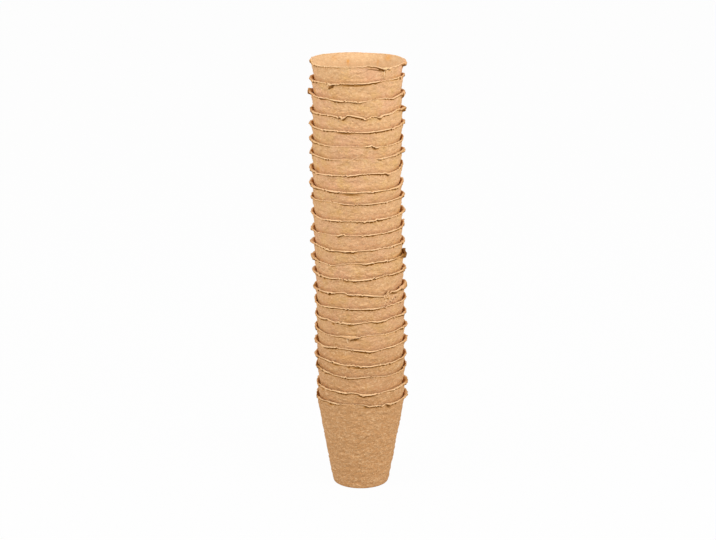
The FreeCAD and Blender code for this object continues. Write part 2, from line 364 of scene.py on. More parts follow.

# Painted shade at the ends of rims, which show in outline at the sides of the stack, and in torn
# notches: pot, pixel across and down, half width and half height in pixels, and strength
SHADED_RIM_ENDS = (
    (12, 403.5, 251.0, 17, 2.6, 1.3), (11, 406.0, 252.0, 19, 3.4, 1.5),
    (3, 316.8, 362.5, 16, 2.8, 1.1), (2, 317.0, 380.5, 13, 2.2, 0.6),
    (1, 316.8, 393.8, 13, 2.2, 0.8), (21, 310.0, 107.5, 13, 2.2, 0.8),
    (22, 308.0, 89.0, 12, 2.2, 0.7), (2, 407.5, 378.5, 12, 2.2, 0.7),
    (9, 313.5, 285.0, 12, 2.2, 0.7),
)

# Places strewn with loose crumbs: pot, pixel across and down, half width and half height in pixels,
# how many crumbs, and their half width in millimetres
CRUMB_PATCHES = (
    (9, 390, 299, 6, 4, 34, 0.75), (9, 403, 286, 3, 4, 16, 0.6), (3, 324, 373, 6, 2.5, 16, 0.5),
    (2, 325, 390.5, 6, 2.5, 16, 0.5), (1, 325, 402.5, 7, 2.5, 20, 0.5),
    (21, 352, 119.5, 22, 2, 22, 0.45), (24, 387, 71, 5, 2, 10, 0.5), (6, 393, 334, 7, 3, 12, 0.4),
    (1, 382, 448, 12, 25, 24, 0.45), (7, 345, 325, 12, 1.5, 10, 0.45),
    (10, 350, 282, 20, 1.5, 14, 0.4), (14, 362, 223.5, 14, 1.5, 12, 0.4),
    (17, 362, 177, 26, 1.5, 12, 0.35), (4, 352, 368.5, 22, 1.5, 12, 0.4),
)

# Slivers and threads that lie on a wall: pot, half thickness in millimetres, how dark they are, and
# the pixels that they pass. The dark ones are painted shade under torn lips, flaps and holes.
SLIVERS = (
    (24, 0.42, 0.0, ((384.6, 69.5), (384.2, 72.5), (383.2, 76.5))),
    (24, 0.36, 1.0, ((366.0, 69.0), (374.0, 69.8), (381.5, 71.0), (386.0, 71.8))),
    (24, 0.26, 0.1, ((386.0, 68.8), (389.0, 69.6), (391.5, 68.0))),
    (23, 1.05, 1.3, ((334.5, 85.4), (331.6, 86.0), (330.0, 87.2), (328.4, 89.4))),
    (23, 0.40, 0.0, ((326.9, 88.0), (327.4, 85.6), (329.6, 83.8))),
    (22, 0.45, 0.0, ((353.0, 98.8), (358.0, 97.4), (364.0, 98.8))),
    (21, 0.34, 0.8, ((340.0, 118.6), (343.0, 119.0), (345.5, 117.4))),
    (21, 0.34, 0.9, ((377.5, 118.8), (380.3, 119.8), (382.8, 117.6))),
    (19, 0.24, 0.1, ((353.0, 148.4), (361.0, 149.2), (369.0, 148.8))),
    (17, 0.30, 0.8, ((386.0, 174.4), (389.5, 175.2), (391.5, 173.6))),
    (15, 0.22, 0.2, ((353.0, 207.0), (368.0, 206.6), (386.0, 204.2))),
    (13, 0.40, 1.0, ((337.0, 237.2), (338.6, 237.6), (340.2, 236.8))),
    (11, 0.30, 0.9, ((393.0, 261.0), (396.0, 259.8), (398.5, 258.6))),
    (9, 0.42, 1.0, ((388.5, 294.2), (393.5, 293.6), (398.0, 292.8))),
    (6, 0.34, 1.0, ((349.8, 340.9), (353.5, 340.2), (357.5, 339.2), (360.5, 338.0))),
    (6, 0.62, 0.0, ((347.2, 338.0), (347.2, 341.0), (348.0, 344.0))),
    (6, 0.40, 0.0, ((340.5, 335.6), (343.5, 336.6), (346.5, 338.4))),
    (6, 0.30, 0.9, ((395.6, 331.0), (396.2, 331.8), (396.8, 332.8))),
    (5, 0.24, 0.0, ((345.0, 351.0), (345.8, 353.5), (345.2, 356.0))),
    (1, 0.36, 0.9, ((386.0, 406.6), (389.0, 407.4), (391.5, 406.4))),
)


def length_setting(name, description, default, least=0.0):
    """A length that can be set in the sidebar."""
    return bpy.props.FloatProperty(
        name=name, description=description, default=default, min=least, unit="LENGTH")


def colour_setting(name, description, default):
    """A colour that can be set in the sidebar."""
    return bpy.props.FloatVectorProperty(
        name=name, description=description, default=default, subtype="COLOR", min=0.0, max=1.0)


class PeatPotSizes(bpy.types.PropertyGroup):
    """Sizes of the lips and of the relief pressed into the walls."""

    lip_out: length_setting("Lip", "How far a whole lip stands out from the wall", LIP_OUT)
    lip_thick: length_setting("Lip thickness", "Thickness of the lip at its edge", LIP_THICK)
    ragged: length_setting("Ragged edge", "How uneven the lip's torn edge is", 0.42 * MM)
    relief: length_setting(
        "Relief", "Height of the lumps where a wall is free of its neighbour", 0.27 * MM)
    nested_relief: length_setting(
        "Nested relief", "Height of the lumps where two walls lie close together", 0.05 * MM)


class PulpColours(bpy.types.PropertyGroup):
    """Colours of the pressed peat and wood fibre."""

    body: colour_setting("Pulp", "Main colour of the dry pressed pulp", (0.705, 0.415, 0.203))
    warm: colour_setting("Warm patches", "Pinker pulp, in broad patches", (0.71, 0.397, 0.22))
    dull: colour_setting("Dull patches", "Yellower pulp, in broad patches", (0.69, 0.41, 0.165))
    # Painted shade: the lower pots are mixed towards this colour, for the light that falls off down the
    # stack
    shaded_brown: colour_setting("Browner pots", "Pulp of the pots low in the stack", (0.535, 0.280, 0.118))
    # Painted shade in cracks, slots, pits and under the lips, and the colour of the darkest slivers
    crevice_shade: colour_setting(
        "Crevices", "Peat that shows where the skin of the wall is broken", (0.23, 0.092, 0.014))
    # Rust stains, and painted warm bounce light in the slots between the rims
    rust_and_bounce_light: colour_setting(
        "Rusty stains", "Orange pulp in the slots between the rims and in stains",
        (0.70, 0.33, 0.08))
    peat: colour_setting("Peat specks", "Dark crumbs of peat in the pulp", (0.40, 0.20, 0.07))
    fibre: colour_setting("Fibres", "Pale wood fibres and torn edges", (0.93, 0.66, 0.385))


class PotStageSettings(bpy.types.PropertyGroup):
    """Camera, lamps and floor."""

    camera_distance: length_setting(
        "Camera distance", "From the camera to the stack, along the floor", CAMERA_DISTANCE, 0.1)
    camera_height: length_setting("Camera height", "Height of the camera over the floor", CAMERA_HEIGHT)
    camera_pitch: bpy.props.FloatProperty(
        name="Camera tilt", description="How far the camera looks down",
        default=CAMERA_PITCH, subtype="ANGLE", unit="ROTATION")
    lens: bpy.props.FloatProperty(
        name="Lens", description="Focal length in millimetres", default=LENS, min=1.0)
    lamp_power: bpy.props.FloatProperty(
        name="Lamp power", description="Mean power of the two large lamps in watts",
        default=14.7, min=0.0)
    lamp_lean: bpy.props.FloatProperty(
        name="Lamp lean",
        description="How much stronger the right lamp is, and how much weaker the left one",
        default=0.13, min=-1.0, max=1.0, subtype="FACTOR")
    sky: bpy.props.FloatProperty(
        name="Sky", description="Strength of the even light from all round", default=0.74, min=0.0)
    floor_colour: colour_setting("Floor", "Colour of the floor as it lights the pots", (0.55, 0.54, 0.53))


class PhotoCamera:
    """Turns the photograph's pixels into rays, with the camera of the stage settings."""

    def __init__(self, stage):
        pitch = stage.camera_pitch
        self.eye = np.array((CAMERA_ACROSS, -stage.camera_distance, stage.camera_height))
        self.right = np.array((1.0, 0.0, 0.0))
        self.up = np.array((0.0, math.sin(pitch), math.cos(pitch)))
        self.ahead = np.array((0.0, math.cos(pitch), -math.sin(pitch)))

    def ray(self, across, down):
        """The way from the eye through a pixel."""
        right = (across - PHOTO_WIDTH / 2) / PIXELS_A_UNIT
        up = (PHOTO_HEIGHT / 2 - down) / PIXELS_A_UNIT
        return self.ahead + right * self.right + up * self.up

    def reach(self, across, down, seat):
        """How far a pixel's ray passes from a pot's upright axis."""
        way = self.ray(across, down)[:2]
        start = self.eye[:2] - seat[:2]
        return abs(start[0] * way[1] - start[1] * way[0]) / math.hypot(*way)

    def on_cylinder(self, across, down, seat, radius, far=False):
        """Angle round a pot's axis, and height over its seat, where a pixel's ray meets an upright
        cylinder: on the near side, or on the far one. A ray that passes it by takes the point
        where it comes nearest."""
        way = self.ray(across, down)
        start = self.eye[:2] - seat[:2]
        a = way[:2] @ way[:2]
        b = start @ way[:2]
        c = start @ start - radius ** 2
        root = math.sqrt(max(b * b - a * c, 0.0))
        along = (-b + root) / a if far else (-b - root) / a
        place = start + along * way[:2]
        return math.atan2(place[1], place[0]), self.eye[2] + along * way[2] - seat[2]

    def on_wall(self, across, down, seat):
        """The same for a pot's tapered outer wall."""
        radius = WALL_TOP_RADIUS
        for _ in range(4):
            angle, height = self.on_cylinder(across, down, seat, radius)
            radius = outer_radius(height)
        return angle, height

    def pixel_size(self, seat):
        """The size that one pixel of the photograph has at a pot."""
        return math.hypot(self.eye[1] - seat[1], self.eye[2] - seat[2] - POT_HEIGHT) / PIXELS_A_UNIT


def smooth_step(value):
    """Eases from zero to one as the value goes there, and stays level on both sides."""
    value = np.clip(value, 0.0, 1.0)
    return value * value * (3 - 2 * value)


def smooth_band(value, start, rise, end, fall):
    """Rises from zero to one after the start, and falls back to zero before the end."""
    return smooth_step((value - start) / rise) * smooth_step((end - value) / fall)


def angle_between(angles, middle):
    """How far round each angle is from the middle one, the short way."""
    return (angles - middle + math.pi) % FULL_TURN - math.pi


def column_at(angles):
    """The mesh column at each angle."""
    return np.asarray(angles / FULL_TURN * COLUMNS).astype(int) % COLUMNS


def outer_radius(height):
    """Radius of the outside of a pot's wall at a height over its foot."""
    return FOOT_RADIUS + TAPER * height


def round_waves(rng, wave_length, count=14):
    """A smooth random wave round the rim, with a height of about one and a wanted length."""
    wave = np.zeros(COLUMNS)
    turns = FULL_TURN * WALL_TOP_RADIUS / wave_length
    for _ in range(count):
        number = max(1, round(turns * rng.uniform(0.5, 1.5)))
        wave += np.sin(number * COLUMN_ANGLES + rng.uniform(0, FULL_TURN))
    return wave * math.sqrt(2 / count)


def wall_lumps(rng, heights, across, upward, count):
    """Smooth random lumps over a wall, with a height of about one and wanted sizes."""
    lumps = np.zeros(heights.shape)
    turns = FULL_TURN * WALL_TOP_RADIUS / across
    waves = FULL_TURN / upward
    for _ in range(count):
        number = round(turns * rng.normal(0, 0.7))
        rise = waves * rng.normal(0, 0.7)
        lumps += np.sin(number * COLUMN_ANGLES + rise * heights + rng.uniform(0, FULL_TURN))
    return lumps * math.sqrt(2 / count)


class PotPlace:
    """Where the frame has one pot: its seat, its top and its rim all round."""

    def __init__(self, index):
        self.index = index
        self.number = index + 1
        self.is_top = self.number == POT_COUNT
        # one at the bottom of the stack, and nearly zero at its top
        self.low = 1 - index / POT_COUNT
        self.node = POT_NODES[index]
        low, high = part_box(self.node)
        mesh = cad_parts[self.node].data
        points = np.array([v.co for v in mesh.vertices])
        foot = points[points[:, 2] < low.z + FOOT_SLACK]
        middle = (foot.min(0) + foot.max(0)) / 2
        self.seat = np.array((middle[0], middle[1], low.z))
        self.top = high.z
        faces = [tuple(p.vertices) for p in mesh.polygons]
        self.tree = BVHTree.FromPolygons([Vector(p) for p in points], faces)

    def rows_of(self, table):
        """The rows of a table that are meant for this pot, without the pot's number."""
        return [row[1:] for row in table if row[0] == self.number]

    def rim(self, angles):
        """The rim's height over the seat and the lip's radius, as the frame has them."""
        heights, radii = [], []
        over = self.top + POT_HEIGHT
        for angle in angles:
            way = np.array((math.cos(angle), math.sin(angle), 0))
            start = self.seat + way * (WALL_TOP_RADIUS + 0.25 * LIP_OUT)
            hit = self.tree.ray_cast(Vector((start[0], start[1], over)), Vector((0, 0, -1)))[0]
            heights.append(hit.z - self.seat[2])
            start = self.seat + way * 2 * WALL_TOP_RADIUS
            start[2] = hit.z - LIP_THICK / 2
            hit = self.tree.ray_cast(Vector(start), Vector(-way))[0]
            radii.append(math.hypot(hit.x - self.seat[0], hit.y - self.seat[1]))
        return np.array(heights), np.array(radii)


class PotRim:
    """The rim of one pot at every column: its height, its lip's share and thickness, and how far
    its flaps hang down."""

    def __init__(self, place, camera, sizes, rng):
        self.place = place
        self.camera = camera
        self.sizes = sizes
        self.rng = rng
        self.trace = RIM_TRACES[place.number]
        angles, heights, shares = np.array(sorted((*self.front_points(), *self.back_points()))).T
        self.height = self.all_round(angles, heights)
        back = smooth_step(np.sin(COLUMN_ANGLES) * 2.5 + 0.6)
        rounds = TOP_BACK_ROUNDS if place.is_top else CORNER_ROUNDS
        self.height += back * (self.smoothed(self.height, rounds) - self.height)
        self.share = self.all_round(angles, shares)
        self.droop = self.flap_droop()
        self.roughen()

    def front_points(self):
        """Angle, height and lip's share at the points of the trace. The lip's outermost point at
        each side gives its own share, because it is seen in outline there."""
        seat = self.place.seat
        for across, down, share in self.trace[1:-1]:
            share *= FRONT_LIP_SHARE
            radius = WALL_TOP_RADIUS + self.sizes.lip_out * share
            yield (*self.camera.on_cylinder(across, down, seat, radius), share)
        for across, down, _ in (self.trace[0], self.trace[-1]):
            radius = self.camera.reach(across, down, seat)
            share = (radius - WALL_TOP_RADIUS) / self.sizes.lip_out
            yield (*self.camera.on_cylinder(across, down, seat, radius), share)

    def back_points(self):
        """The same behind: from the photograph for the top pot, and from the frame for others."""
        if self.place.is_top:
            radius = WALL_TOP_RADIUS + LIP_OUT
            for across, down in TOP_RIM_BACK:
                spot = self.camera.on_cylinder(across, down, self.place.seat, radius, far=True)
                yield (*spot, BACK_LIP_SHARE)
        else:
            for angle, height, radius in zip(BACK_ANGLES, *self.place.rim(BACK_ANGLES)):
                yield (angle, height, (radius - WALL_TOP_RADIUS) / self.sizes.lip_out)

    def flap_droop(self):
        """How far the torn flaps hang down at every column."""
        seat = self.place.seat
        pixels_across = [point[0] for point in self.trace]
        pixels_down = [point[1] for point in self.trace]
        droop = np.zeros(COLUMNS)
        for across, half, fall in self.place.rows_of(LIP_FLAPS):
            down = np.interp(across, pixels_across, pixels_down)
            angle = self.camera.on_wall(across, down, seat)[0]
            edge = self.camera.on_wall(across + half, down, seat)[0]
            away = np.abs(angle_between(COLUMN_ANGLES, angle))
            droop += fall * MM * np.clip(1 - away / abs(edge - angle), 0, 1)
        return droop

    def roughen(self):
        """Makes the rim ragged: waves, notches, broken patches, and thicker ends at the sides."""
        rng = self.rng
        sideways = np.cos(COLUMN_ANGLES)
        behind = smooth_step(np.sin(COLUMN_ANGLES) * 3) if self.place.is_top else 0.0
        fine = round_waves(rng, FINE_WAVE)
        broad = round_waves(rng, BROAD_WAVE)
        rough = np.clip(0.3 + 0.6 * round_waves(rng, ROUGH_WAVE, 8), 0.05, 1.3)
        rough *= 1 - 0.8 * behind
        ends = np.abs(sideways) ** 10
        ends *= np.where(sideways > 0, rng.uniform(0.4, 1.5), rng.uniform(0.4, 1.5))
        rough *= 1 + ends
        self.height += self.sizes.ragged * rough * (0.5 * fine + 0.4 * broad) + END_RISE * ends
        self.notch = np.clip(round_waves(rng, NOTCH_WAVE) - 0.8, 0, 1) * (0.4 + rough)
        self.notch *= 1 - behind
        self.height -= NOTCH_DEPTH * self.notch
        self.side = np.abs(sideways) ** 4
        self.patch = np.clip(0.55 + 0.4 * round_waves(rng, PATCH_WAVE, 8), 0.1, 1.0)
        self.fleck = np.clip(0.5 + 0.6 * round_waves(rng, FLECK_WAVE), 0.0, 1.5)
        # How much the slots at the sides of the stack take painted warm bounce light in place of painted
        # shade
        self.warm_bounce = self.side * np.clip(self.fleck, 0.4, 1)
        kept = 1 - 0.4 * (1 - self.side) * (1 - self.patch)
        edge = round_waves(rng, EDGE_WAVE)
        self.share *= kept * (1 + 0.12 * rough * edge) * (1 - 0.5 * np.clip(self.notch, 0, 1))
        self.share = np.clip(self.share, 0.02, 1.6)
        self.whole = np.clip(self.share, 0, 1)
        uneven = 1 + 0.22 * rough * round_waves(rng, FLECK_WAVE)
        full = 0.3 + 0.25 * self.whole * (0.5 + self.patch) + 0.35 * self.side + 0.6 * ends
        self.thick = np.maximum(self.sizes.lip_thick * uneven * full, LEAST_LIP_THICK)
        swell = np.abs(np.sin(1.5 * COLUMN_ANGLES + self.place.index))
        self.under = LIP_ROOT_DROP * self.whole * (0.25 + 0.75 * swell)

    def all_round(self, angles, values):
        """Values that are known at some angles, drawn out over every column."""
        values = np.interp(COLUMN_ANGLES, angles, values, period=FULL_TURN)
        return self.smoothed(values, CORNER_ROUNDS)

    @staticmethod
    def smoothed(values, rounds):
        """The values with their corners rounded off, more with each round."""
        for _ in range(rounds):
            values = (np.roll(values, 1) + 2 * values + np.roll(values, -1)) / 4
        return values

    @property
    def root(self):
        """Height of the lip's root on the outer wall."""
        return self.height - self.thick - self.under - self.droop

    @property
    def lip_radius(self):
        """Radius of the lip's outer edge."""
        return WALL_TOP_RADIUS + self.sizes.lip_out * self.share


class PotForm:
    """The rings of points that make one pot, from the drain hole's lower edge round the outside,
    over the rim, down the inside and back to the hole. A ring holds a radius and a height over the
    seat at every column, how torn the pulp is there, how much painted shade it takes in crevices and
    slots, and how rusty it is, where rust stains and painted warm bounce light share one layer."""

    def __init__(self, rim, wall, rise, below):
        self.place = rim.place
        self.rim = rim
        self.wall = wall
        self.rise = rise
        self.below = below
        # one where another pot sits in this one, and zero in the top pot
        self.nested = 0.0 if self.place.is_top else 1.0
        self.inner_top = rim.height - INNER_WEAR
        self.flare = self.inner_edge - outer_radius(self.inner_top) + wall
        self.rings = []
        self.add_foot_and_wall()
        self.outer_rings = len(self.rings)
        self.add_lip()
        self.add_inside()

    def add(self, radius, height, torn=0.0, deep=0.0, rust_and_bounce_light=0.0):
        """Adds a ring. A value is one number for the whole ring, or one for each column."""
        self.rings.append([value + np.zeros(COLUMNS) for value in (radius, height, torn, deep, rust_and_bounce_light)])

    @property
    def inner_edge(self):
        """Radius of the rim's inner edge, which leans out except where the rim would be too thin."""
        leaning = outer_radius(self.rim.height) - self.wall + RIM_FLARE
        return np.minimum(leaning, self.rim.lip_radius - LEAST_RIM)

    def inside(self, heights, share):
        """Radius of the inside at some heights, which are a share of the way down the flare."""
        return outer_radius(heights) - self.wall + self.flare * (1 - share) ** FLARE_CURVE

    def add_foot_and_wall(self):
        """The foot, then the wall: coarse rows where the pot below hides it, and fine rows above, with
        painted shade in the crack under the lip and in the slot over the rim below, and painted warm
        bounce light at the sides of that slot."""
        rim = self.rim
        root = rim.root
        self.add(DRAIN_RADIUS, 0.0)
        for share in (0.25, 0.5, 0.75):
            self.add(DRAIN_RADIUS + share * (FOOT_RADIUS - FOOT_BEVEL - DRAIN_RADIUS), 0.0)
        # The foot's edge takes painted shade
        for inward, up, deep in ((1.0, 0.0, 0.5), (0.4, 0.2, 0.5), (0.06, 0.65, 0.35)):
            self.add(FOOT_RADIUS - FOOT_EDGE * inward, FOOT_EDGE * up, deep=deep)
        shown = POT_HEIGHT - self.rise - SHOWN_MARGIN
        if shown > FOOT_BEVEL:
            hidden = max(2, round((shown - FOOT_BEVEL) / HIDDEN_ROW))
            for height in np.linspace(WALL_START, shown, hidden, endpoint=False):
                self.add(outer_radius(height), height)
        else:
            shown = WALL_START
        count = round((POT_HEIGHT - shown) / SHOWN_ROW)
        for share in np.linspace(0, 1, count, endpoint=False):
            height = shown + (root - shown) * share
            # Painted shade under the lip, stronger low in the stack, and in the slot over the rim below,
            # where the sides of the stack take painted warm bounce light instead
            close = smooth_step(1 - (root - height) / LIP_SHADE_HEIGHT)
            lip_shade = (1.8 + self.place.low) * close * rim.whole * (0.2 + rim.fleck) * rim.patch
            sunk = (self.below - height) / MM
            dark = smooth_band(sunk, *SLOT_SHADE) * (0.5 - 0.4 * rim.warm_bounce)
            bounce_light = 0.6 * smooth_band(sunk, *SLOT_BOUNCE_LIGHT) * rim.warm_bounce
            self.add(outer_radius(height), height, deep=lip_shade + dark, rust_and_bounce_light=bounce_light)

    def add_lip(self):
        """The lip, darkened with painted shade under its root, pale along its torn edge, and darkened with
        more painted shade at its ends, which show in outline at both sides of the stack."""
        rim = self.rim
        root = rim.root
        wall = outer_radius(root)
        out = rim.lip_radius
        lower = rim.height - rim.thick - rim.droop
        middle = (rim.height + lower) / 2
        step = out - wall
        inner = self.inner_edge
        flap = rim.droop / (rim.droop + rim.thick)
        # At the sides of the stack the lip's outer face takes painted shade, and its torn edge is less pale
        side = rim.side ** 2
        plain = (1 - 0.85 * flap) * (1 - 0.75 * side)
        pale = 1 - 0.6 * side
        ear_shade = side * np.clip(0.3 + 0.7 * rim.fleck, 0.3, 1.2)
        # Painted shade under the lip's root, deeper at notches and low in the stack
        dark = np.clip(1.7 * rim.whole, 0, 1) * (0.8 + 0.6 * rim.patch) * (1 - 0.4 * flap)
        dark = (dark + 0.6 * rim.notch) * (1.1 + 0.6 * self.place.low)
        self.add(wall - LIP_ROOT_INSET, root, deep=dark + 0.05)
        self.add(wall + 0.35 * step, 0.35 * lower + 0.65 * root + LIP_HOLLOW, 0.1, 0.85 * dark)
        self.add(wall + 0.85 * step, lower, 0.3 * plain, 0.45 * dark + ear_shade)
        self.add(out, lower + 0.2 * rim.thick, 0.7 * plain, ear_shade)
        self.add(out, middle, (0.5 + 0.5 * rim.patch) * plain, 0.8 * ear_shade)
        torn = (0.6 + 0.4 * rim.patch) * pale * (1 - flap)
        self.add(out - LIP_EDGE_ROUND, rim.height - 0.2 * rim.thick, torn, 0.6 * ear_shade)
        self.add(out - LIP_EDGE_WEAR, rim.height, pale, 0.3 * ear_shade)
        self.add((inner + out) / 2, rim.height + LIP_CROWN * rim.whole, 0.8 * pale, 0.25 * ear_shade)
        # Painted shade on the rim's inner edge where another pot sits in this one
        self.add(inner + INNER_ROUND, rim.height, 0.5, 0.15 * self.nested)
        self.add(inner, self.inner_top, 0.2, 0.4 * self.nested)

    def add_inside(self):
        """The flare under the rim, the inner wall, its rounded corner and the floor."""
        warm_bounce = self.rim.warm_bounce
        for share in np.linspace(0, 1, INNER_RIM_RINGS + 1)[1:]:
            height = self.inner_top - share * FLARE_RISE
            # Where another pot sits in this one, the flare takes painted shade, and painted warm bounce
            # light at the sides of the stack
            slot = self.nested * (1 - share) ** FLARE_CURVE
            self.add(self.inside(height, share), height, 0.55, slot * (1 - 0.75 * warm_bounce),
                     0.7 * slot * warm_bounce)
        start = self.inner_top - FLARE_RISE
        corner = FLOOR_THICKNESS + CORNER_FILLET
        for share in np.linspace(0, 1, INNER_WALL_RINGS + 1)[1:]:
            height = start + (corner - start) * share
            self.add(outer_radius(height) - self.wall, height, 0.45)
        wide = outer_radius(corner) - self.wall
        for turn in np.radians((30, 60, 90)):
            self.add(wide - CORNER_FILLET * (1 - math.cos(turn)), corner - CORNER_FILLET * math.sin(turn))
        flat = wide - CORNER_FILLET
        for share in (0.75, 0.5, 0.25):
            self.add(DRAIN_RADIUS + share * (flat - DRAIN_RADIUS), FLOOR_THICKNESS)
        self.add(DRAIN_RADIUS, FLOOR_THICKNESS)
        self.add(DRAIN_RADIUS, FLOOR_THICKNESS / 2)

    def press(self, radii, heights, torn, deep, rust_and_bounce_light):
        """Pushes the lumps, pits and coarse patches into the rings, paints shade into the pits and at the
        rims' shaded ends, and stains them, some stains being painted warm bounce light.
        """
        place = self.place
        rng = self.rim.rng
        sizes = self.rim.sizes
        free = smooth_step((heights - POT_HEIGHT + self.rise) / SHOWN_MARGIN)
        relief = sizes.nested_relief * (1 - free) + sizes.relief * free
        lumps = sum(strength * wall_lumps(rng, heights, *kind) for strength, *kind in LUMPS)
        outside = np.full(radii.shape, 0.4 if self.nested else 0.9)
        outside[:self.outer_rings + LIP_RINGS] = 1.0
        radii += lumps * relief * smooth_step(heights / FOOT_CALM) * outside
        outer = slice(0, self.outer_rings)
        for *spot, depth in place.rows_of(WALL_PITS):
            near = self.near(heights, *spot)[outer]
            radii[outer] -= depth * MM * near
            # Painted shade in each hollow
            if depth > 0:
                deep[outer] = np.maximum(deep[outer], 1.3 * near)
            else:
                torn[outer] = np.maximum(torn[outer], 0.6 * near)
        for *spot, height in place.rows_of(COARSE_PATCHES):
            coarse = wall_lumps(rng, heights, *COARSE_LUMPS)
            radii[outer] += (height * MM * self.near(heights, *spot) * coarse)[outer]
        radii[outer] = np.maximum(radii[outer], self.least_radius(heights[outer]))
        # Rust stains, and painted warm bounce light by the ears at the sides
        for *spot, strength, inside in place.rows_of(RUST_STAINS):
            rings = slice(self.outer_rings, None) if inside else outer
            near = self.near(heights, *spot, inside)[rings]
            rust_and_bounce_light[rings] = np.maximum(rust_and_bounce_light[rings], strength * near)
        # Painted shade at the rims' ends and in torn notches
        for *spot, strength in place.rows_of(SHADED_RIM_ENDS):
            deep[:] = np.maximum(deep, strength * self.near(heights, *spot))

    def least_radius(self, heights):
        """The least radius that the outside may have, just over the inside at the same height."""
        share = np.clip((self.inner_top - heights) / FLARE_RISE, 0, 1)
        least = self.inside(heights, share) + LEAST_WALL
        return np.where(heights > FLOOR_THICKNESS + CORNER_FILLET, least, 0.0)

    def near(self, heights, across, down, half_across, half_down, inside=False):
        """One at a pixel's place on the outer wall, or on the far side of the inner one, falling
        away smoothly over a half width and a half height that are given in pixels."""
        seat = self.place.seat
        camera = self.rim.camera
        pixel = camera.pixel_size(seat)
        if inside:
            radius = WALL_TOP_RADIUS - self.wall
            angle, height = camera.on_cylinder(across, down, seat, radius, far=True)
            half_down /= FAR_WALL_SQUASH
        else:
            angle, height = camera.on_wall(across, down, seat)
        sideways = angle_between(COLUMN_ANGLES, angle) * outer_radius(height) / (half_across * pixel)
        upward = (heights - height) / (half_down * pixel)
        return np.exp(-(sideways ** 2 + upward ** 2))

    def mesh(self, name, shade):
        """The pot as one closed mesh. The shade is painted shade that darkens the pot towards the shaded
        brown, for the light that falls off down the stack. The top pot's inside takes the full shade and is
        more torn than its outside, painted to offset the warm light that bounces inside the cup."""
        radii, heights, torn, deep, rust_and_bounce_light = np.array(self.rings).transpose(1, 0, 2)
        self.press(radii, heights, torn, deep, rust_and_bounce_light)
        shade_layer = np.full(radii.shape, shade)
        # Painted colour that offsets the warm light bouncing inside the top pot
        if self.place.is_top:
            shade_layer[self.outer_rings + LIP_RINGS:] = 1.0
            torn[self.outer_rings + LIP_RINGS:] += 0.3
        seat = self.place.seat
        points = np.stack((seat[0] + radii * np.cos(COLUMN_ANGLES),
                           seat[1] + radii * np.sin(COLUMN_ANGLES),
                           seat[2] + heights), axis=-1).reshape(-1, 3)
        row = np.arange(len(self.rings))[:, None]
        column = np.arange(COLUMNS)[None, :]
        next_row = (row + 1) % len(self.rings)
        next_column = (column + 1) % COLUMNS
        faces = np.stack((row * COLUMNS + column, row * COLUMNS + next_column,
                          next_row * COLUMNS + next_column, next_row * COLUMNS + column),
                         axis=-1).reshape(-1, 4)
        # The deep layer holds painted shade, and the rust layer rust stains and painted warm bounce light
        return quad_mesh(name, points, faces, {"torn": torn, "deep": deep, "rust_and_bounce_light": rust_and_bounce_light, "shade": shade_layer})


def quad_mesh(name, points, faces, layers):
    """A smooth mesh of four-sided faces, with one number a point for each named layer."""
    mesh = bpy.data.meshes.new(name)
    mesh.vertices.add(len(points))
    mesh.vertices.foreach_set("co", points.ravel())
    mesh.loops.add(faces.size)
    mesh.loops.foreach_set("vertex_index", faces.ravel())
    mesh.polygons.add(len(faces))
    mesh.polygons.foreach_set("loop_start", np.arange(len(faces)) * 4)
    mesh.polygons.foreach_set("loop_total", np.full(len(faces), 4))
    mesh.update(calc_edges=True)
    mesh.shade_smooth()
    for label, values in layers.items():
        layer = mesh.attributes.new(label, "FLOAT", "POINT")
        layer.data.foreach_set("value", values.ravel())
    return mesh


def node(tree, kind, place, **values):
    """A shader node at a place in the editor, with its settings and plain inputs."""
    made = tree.nodes.new(kind)
    made.location = place
    for label, value in values.items():
        if label in made.inputs:
            made.inputs[label].default_value = value
        else:
            setattr(made, label, value)
    return made


def wire(tree, *pairs):
    """Links outputs to inputs. A plain node stands for its first output."""
    for source, target in pairs:
        if isinstance(source, bpy.types.Node):
            source = source.outputs[0]
        tree.links.new(source, target)


def find_socket(sockets, kind, name):
    """The socket with a name that takes or gives the wanted kind of value."""
    return [s for s in sockets if s.type == kind and s.name == name][0]


